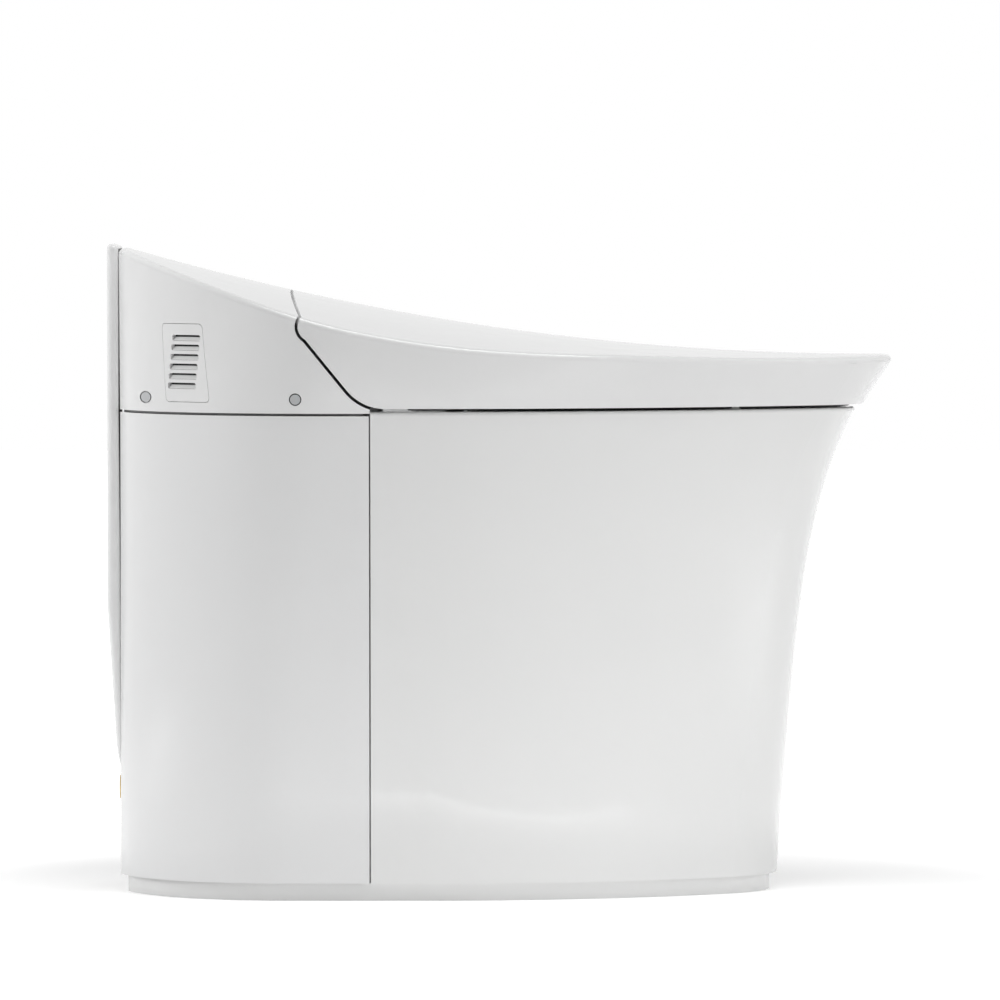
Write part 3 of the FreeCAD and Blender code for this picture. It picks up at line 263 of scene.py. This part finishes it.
def addMesh(name, corners, faces):
    # corners are rows in millimetres; faces are rows of four corner numbers
    mesh = bpy.data.meshes.new(name)
    mesh.vertices.add(len(corners))
    mesh.vertices.foreach_set("co", (corners * milli).astype(np.float32).ravel())
    mesh.loops.add(faces.size)
    mesh.loops.foreach_set("vertex_index", faces.astype(np.int32).ravel())
    mesh.polygons.add(len(faces))
    mesh.polygons.foreach_set("loop_start", np.arange(0, faces.size, 4, dtype=np.int32))
    mesh.update(calc_edges=True)
    work = bmesh.new()
    work.from_mesh(mesh)
    bmesh.ops.remove_doubles(work, verts=work.verts, dist=mergeReach)
    bmesh.ops.dissolve_degenerate(work, edges=work.edges, dist=sliverReach)
    work.to_mesh(mesh)
    work.free()
    mesh.shade_smooth()
    return mesh


def gridFaces(rows, columns, closedRows, closedColumns):
    # each face joins a point to the next one along its row and along its column
    r = np.arange(rows if closedRows else rows - 1)[:, None]
    c = np.arange(columns if closedColumns else columns - 1)[None, :]
    up = (r + 1) % rows
    on = (c + 1) % columns
    quad = [r * columns + c, r * columns + on, up * columns + on, up * columns + c]
    return np.stack(np.broadcast_arrays(*quad), -1).reshape(-1, 4)


def turnedOut(corners, faces):
    # a closed shape encloses a positive volume when its faces point outwards
    a, b, c, d = (corners[faces[:, i]] for i in range(4))
    volume = np.einsum("ij,ij->", a, np.cross(b, c)) + np.einsum("ij,ij->", a, np.cross(c, d))
    return faces if volume > 0 else faces[:, ::-1]


def ringGrid(points):
    # a grid closed along its rows and its columns, like a tyre
    rows, columns = points.shape[:2]
    return points, gridFaces(rows, columns, True, True)


def rodGrid(points):
    # a profile (rows) carried along an open path (columns), both ends drawn in to their middles
    first = np.broadcast_to(points[:, :1].mean(0, keepdims=True), points[:, :1].shape)
    last = np.broadcast_to(points[:, -1:].mean(0, keepdims=True), points[:, -1:].shape)
    closed = np.concatenate([first, points, last], 1)
    return closed, gridFaces(closed.shape[0], closed.shape[1], True, False)


def addPiece(name, grids, look, replaced=()):
    # grids are closed shapes joined in one mesh
    corners = []
    faces = []
    first = 0
    for points, quads in grids:
        flat = points.reshape(-1, 3)
        faces.append(turnedOut(flat, quads) + first)
        corners.append(flat)
        first += len(flat)
    mesh = addMesh(name, np.concatenate(corners), np.concatenate(faces))
    piece = bpy.data.objects.new(name, mesh)
    bpy.context.collection.objects.link(piece)
    mesh.materials.append(paints[look["paint"]])
    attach(piece, look["body"])
    if replaced:
        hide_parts(*replaced)


def arcRun(centre, radius, start, end, count):
    # points round a circle, one row for each row of radius
    angle = start + (end - start) * np.linspace(0, 1, count)[None, :]
    return np.stack([centre[0] + radius * np.cos(angle), centre[1] + radius * np.sin(angle)], -1)


def evened(curves, count):
    # equally spaced points along each row
    rows = []
    for curve in curves:
        run = np.concatenate([[0], np.cumsum(np.hypot(*np.diff(curve, axis=0).T))])
        at = np.linspace(0, run[-1], count)
        rows.append(np.stack([np.interp(at, run, axis) for axis in curve.T], -1))
    return np.stack(rows)


arcPoints = dict(nose=60, side=120, corner=60)  # taken on each arc before they are evened


def halfPlan(plan, inset):
    # half an outline from nose to back: a nose arc, a long side arc that touches it, and a corner
    # arc, then a straight back; arcs keep their centres and the inset comes off their radii
    nose, half, apex, nip = plan["nose"], plan["half"], plan["apex"], plan["noseArc"]
    reach = nose - apex
    side = (reach**2 + half**2 - 2 * reach * nip) / (2 * (half - nip))
    lean = math.atan2(side - half, reach - nip)
    inset = np.asarray(inset, float)[:, None]
    middle = plan["cornerX"], half - plan["corner"]
    stop = np.arccos(np.clip((middle[0] - apex) / (side - inset), 0, 1))
    runs = [
        arcRun((nose - nip, 0), nip - inset, 0, lean, arcPoints["nose"]),
        arcRun((apex, half - side), side - inset, lean, stop, arcPoints["side"]),
        arcRun(
            middle, plan["corner"] - inset, math.pi / 2, plan["cornerEnd"], arcPoints["corner"],
        ),
    ]
    end = runs[-1][:, -1:] * np.array([1, 0])
    return evened(np.concatenate([*runs, end], 1), plan["points"])


def mirrored(half):
    # a half outline with its mirror image, without repeating the two shared points
    return np.concatenate([half, half[:, -2:0:-1] * np.array([1, -1])], 1)


def lifted(plan, height):
    # puts a height on every row of a plan
    rows = np.broadcast_to(np.asarray(height, float)[:, None, None], plan.shape[:2] + (1,))
    return np.concatenate([plan, rows], -1)


seatLook = dict(
    body="seat", slot="seat_white", paint="seatWhite", foot=434.8, top=449.0, edge=5.0, dish=1.9,
    turns=9, across=26,
    outer=dict(
        nose=308, half=182, apex=-95, noseArc=75, cornerX=-84, corner=20,
        cornerEnd=math.pi, points=110,
    ),
    inner=dict(
        nose=252, half=103, apex=90, noseArc=70, cornerX=73, corner=103,
        cornerEnd=math.pi - math.asin(20 / 103), points=110,  # the straight back is 40 wide
    ),
)


def makeSeat():
    # the section goes up the hole's edge, round a quarter circle, over a top that dips by the
    # square of a sine between hole and rim, round a second quarter circle and down the rim
    look = seatLook
    turn = np.linspace(0, math.pi / 2, look["turns"])
    away = look["edge"] * (1 - np.cos(turn))
    rise = look["top"] - look["edge"] * (1 - np.sin(turn))
    hole = mirrored(halfPlan(look["inner"], -np.concatenate([[0], away])))
    rim = mirrored(halfPlan(look["outer"], np.concatenate([away[::-1], [0]])))
    share = np.linspace(0, 1, look["across"] + 2)[1:-1]
    top = hole[-1:] + (rim[:1] - hole[-1:]) * share[:, None, None]
    dips = look["top"] - look["dish"] * np.sin(math.pi * share) ** 2
    heights = np.concatenate([[look["foot"]], rise, dips, rise[::-1], [look["foot"]]])
    points = lifted(np.concatenate([hole, top, rim]), heights)
    addPiece("dishedSeat", [ringGrid(points)], look, ("seat_top",))


# a dark strip set just inside the gap between the bowl's rim and the seat: painted shade for that
# gap, not a real seal
gapShadeLook = dict(
    body="seat", slot="pad_rubber", paint="darkRubberAndGapShade", inset=4.5, wide=2.2, middle=424.9,
    tall=2.05, square=0.45, around=24, backEnd=-80,
)


def makeGapShade():
    # a squarish ring (cosine and sine raised to a low power) carried round the seat's rim
    look = gapShadeLook
    angle = np.linspace(0, 2 * math.pi, look["around"], endpoint=False)
    cosine, sine = np.cos(angle), np.sin(angle)
    inset = look["inset"] + look["wide"] * np.sign(cosine) * np.abs(cosine) ** look["square"]
    height = look["middle"] + look["tall"] * np.sign(sine) * np.abs(sine) ** look["square"]
    half = halfPlan(seatLook["outer"], inset)
    kept = int(np.argmax(half[0, :, 0] < look["backEnd"]))
    half = half[:, :kept]
    path = np.concatenate([half[:, :0:-1] * np.array([1, -1]), half], 1)
    addPiece("gapShadeStrip", [rodGrid(lifted(path, height))], look)


louvreLook = dict(
    body="filter", slot="grille_white", paint="whiteShell", turn=43.4, first=484.5, pitch=8.25,
    count=6, wide=34.4, deep=2.35, drop=0.75, length=2.25, thick=0.42, slope=48, along=24,
    around=20, wallFoot=190.5, wallSlope=0.327, wallBase=424.3, wallBack=-335.5,
)


def makeLouvres():
    # a flat ellipse, tilted so that it climbs inwards, carried round the tower's circular wall;
    # the wall's radius grows with height
    look = louvreLook
    angle = np.linspace(0, 2 * math.pi, look["around"], endpoint=False)[:, None]
    slope = math.radians(look["slope"])
    long, thick = look["length"] * np.cos(angle), look["thick"] * np.sin(angle)
    grids = []
    for index in range(look["count"]):
        inward = look["deep"] + long * math.cos(slope) - thick * math.sin(slope)
        middle = look["first"] - index * look["pitch"] - look["drop"]
        height = middle + long * math.sin(slope) + thick * math.cos(slope)
        wall = look["wallFoot"] + look["wallSlope"] * (height - look["wallBase"])
        run = np.linspace(-0.5, 0.5, look["along"])[None, :] * look["wide"] / wall
        bearing = math.radians(look["turn"]) + run
        radius = wall - inward
        x = look["wallBack"] + wall - radius * np.sin(bearing)
        y = -radius * np.cos(bearing)
        z = np.broadcast_to(height, x.shape)
        grids.append(rodGrid(np.stack([x, y, z], -1)))
    addPiece("louvreBlades", grids, look)


coverLook = dict(
    body="base", slot="shell_white", paint="paintedLitCoverWhite", half=42.0, wall=2.5, corner=5.0, turns=9,
    heights=[107, 123, 250, 422, 559.8], back=[-330, -334, -342, -342, -342],
    front=[-328.6, -329, -330.5, -332.1, -332.1], rows=40, capFoot=[559.8, 560.0], top=563.8,
    edge=3.5, fall=2.4, fallStart=-338.5, fallRun=6.4, lip=0.3,
    cornerShare=0.9, leastRadius=0.05, wallShare=0.45,  # keep corner and wall inside a thin channel
)


def channelRun(look, height, inset):
    # the plan of the channel: a side, a quarter circle, the back, a quarter circle and a side;
    # the inset comes off its half width, its back and its corner radius
    back = np.interp(height, look["heights"], look["back"])[:, None]
    front = np.interp(height, look["heights"], look["front"])[:, None]
    corner = np.minimum(look["corner"], (front - back) * look["cornerShare"])
    middle = back + corner, look["half"] - corner
    radius = np.maximum(corner - inset, look["leastRadius"])
    turn = np.linspace(0, math.pi / 2, look["turns"])[None, :]
    arcX = middle[0] - radius * np.sin(turn)
    arcY = middle[1] + radius * np.cos(turn)
    x = np.concatenate([front, arcX, arcX[:, ::-1], front], 1)
    y = np.concatenate([look["half"] - inset, arcY, -arcY[:, ::-1], inset - look["half"]], 1)
    return np.stack([x, y], -1)


def makeCover():
    # an open channel: the outer plan and the same plan one wall further in, joined as one loop
    # and carried up, meet half way at both ends; a cap whose top falls to the tower closes it
    look = coverLook
    height = np.linspace(look["heights"][0], look["heights"][-1], look["rows"])
    height = np.sort(np.append(height, height[[0, -1]] + [look["lip"], -look["lip"]]))
    depth = np.interp(height, look["heights"], np.subtract(look["front"], look["back"]))
    wall = np.minimum(look["wall"], depth * look["wallShare"])[:, None]
    outer = channelRun(look, height, np.zeros_like(wall))
    inner = channelRun(look, height, wall)
    middle = (outer + inner) / 2
    outer = np.concatenate([middle[:1], outer, middle[-1:]])
    inner = np.concatenate([middle[:1], inner, middle[-1:]])
    height = np.concatenate([height[:1], height, height[-1:]])
    loop = lifted(np.concatenate([outer, inner[:, ::-1]], 1), height)
    channel = loop, gridFaces(*loop.shape[:2], False, True)
    turn = np.linspace(0, math.pi / 2, look["turns"])
    inset = look["edge"] * (1 - np.cos(turn))[:, None]
    rise = look["top"] - look["edge"] * (1 - np.sin(turn))
    rows = np.concatenate([look["capFoot"], rise])
    inset = np.concatenate([np.zeros((len(look["capFoot"]), 1)), inset])
    cap = lifted(channelRun(look, np.full_like(rows, look["heights"][-1]), inset), rows)
    share = (cap[..., 2] - rows[0]) / (rows[-1] - rows[0])
    fall = np.clip((cap[..., 0] - look["fallStart"]) / look["fallRun"], 0, 1) * look["fall"]
    cap[..., 2] -= fall * share
    closing = rodGrid(np.swapaxes(cap, 0, 1))
    addPiece("rearChannelCover", [channel, closing], look, ("rear_cover",))


makeSeat()
makeGapShade()
makeLouvres()
makeCover()
print("surfaces made")

roomLook = dict(
    floorHalf=12.0, floorColour=(0.82, 0.82, 0.82, 1), floorRough=0.9,
    nearGlow=0.46, farGlow=1.0, nearReach=0.4, farReach=0.8,  # the floor's glow grows outwards
    skyLight=0.22, mirrorGlow=0.9,
)


def makeFloor():
    # a plain sheet whose own glow, seen by the camera alone, brings it to white
    half = roomLook["floorHalf"]
    corners = [(-half, -half, 0), (half, -half, 0), (half, half, 0), (-half, half, 0)]
    mesh = bpy.data.meshes.new("floor")
    mesh.from_pydata(corners, [], [(0, 1, 2, 3)])
    floor = bpy.data.objects.new("floor", mesh)
    bpy.context.collection.objects.link(floor)
    paint = Paint("floorWhite")
    seen = paint.node("ShaderNodeLightPath", {}, {}, "Is Camera Ray")
    mirrored = paint.node("ShaderNodeLightPath", {}, {}, "Is Glossy Ray")
    reach = paint.node("ShaderNodeVectorMath", {"operation": "LENGTH"}, {0: paint.place()}, "Value")
    sockets = {
        "Value": reach, "From Min": roomLook["nearReach"], "From Max": roomLook["farReach"],
        "To Min": roomLook["nearGlow"], "To Max": roomLook["farGlow"],
    }
    spread = paint.node("ShaderNodeMapRange", {"interpolation_type": "SMOOTHSTEP"}, sockets)
    share = (seen + mirrored * roomLook["mirrorGlow"]) * spread
    glow = paint.mixColours(share, (0, 0, 0, 1), (1, 1, 1, 1))
    paint.set(
        Base_Color=roomLook["floorColour"],
        Roughness=roomLook["floorRough"],
        Specular_IOR_Level=0.0,
        Emission_Color=glow,
        Emission_Strength=1.0,
    )
    mesh.materials.append(paint.material)


def makeSky():
    # the world is white to the camera, nearly so in reflections, and a weak light otherwise
    world = bpy.data.worlds.new("studio")
    bpy.context.scene.world = world
    world.use_nodes = True
    tree = world.node_tree
    back = tree.nodes["Background"]
    path = tree.nodes.new("ShaderNodeLightPath")
    light = roomLook["skyLight"]
    steps = []
    for ray, seen in (("Is Camera Ray", 1.0), ("Is Glossy Ray", roomLook["mirrorGlow"])):
        step = tree.nodes.new("ShaderNodeMath")
        step.operation = "MULTIPLY_ADD"
        tree.links.new(path.outputs[ray], step.inputs[0])
        step.inputs[1].default_value = seen - light
        step.inputs[2].default_value = light
        steps.append(step)
    tree.links.new(steps[0].outputs[0], steps[1].inputs[2])
    tree.links.new(steps[1].outputs[0], back.inputs["Strength"])
    back.inputs["Color"].default_value = (1, 1, 1, 1)


lamps = {
    "topPanel": dict(
        place=(0.2, -0.7, 2.4), aim=(0, 0, 0.3), size=(1.4, 1.0), power=24, shine=True,
    ),
    "nosePanel": dict(
        place=(2.1, -0.5, 0.6), aim=(0.1, 0, 0.3), size=(0.8, 1.2), power=12, shine=False,
    ),
    "heelPanel": dict(
        place=(-2.25, 0, 0.8), aim=(-0.2, 0, 0.3), size=(0.8, 1.2), power=20, shine=False,
    ),
    "footStrip": dict(
        place=(0.1, -0.75, 0.04), aim=(0, 0, 0.1), size=(1.0, 0.06), power=1.15, shine=False,
    ),
}


def aimed(thing, place, aim):
    # lamps and cameras look along their own -Z
    thing.location = place
    away = np.array(place, float) - np.array(aim, float)
    flat = math.hypot(away[0], away[1])
    thing.rotation_euler = (math.atan2(flat, away[2]), 0, math.atan2(away[0], -away[1]))


def makeLamps():
    for name, look in lamps.items():
        lamp = bpy.data.lights.new(name, "AREA")
        lamp.shape = "RECTANGLE"
        lamp.size, lamp.size_y = look["size"]
        lamp.energy = look["power"]
        thing = bpy.data.objects.new(name, lamp)
        thing.visible_camera = False
        thing.visible_glossy = look["shine"]
        bpy.context.collection.objects.link(thing)
        aimed(thing, look["place"], look["aim"])


shot = dict(distance=8.0, height=0.638, sensor=36.0, lens=329.3, aimHeight=0.3397, reach=60)


def makeCamera():
    camera = bpy.data.cameras.new("shot")
    camera.sensor_width = shot["sensor"]
    camera.lens = shot["lens"]
    camera.clip_end = shot["reach"]
    thing = bpy.data.objects.new("shot", camera)
    bpy.context.collection.objects.link(thing)
    aimed(thing, (0, -shot["distance"], shot["height"]), (0, 0, shot["aimHeight"]))
    bpy.context.scene.camera = thing


makeFloor()
makeSky()
makeLamps()
makeCamera()
bpy.context.scene.view_settings.view_transform = "Standard"
print("floor, light and camera made")
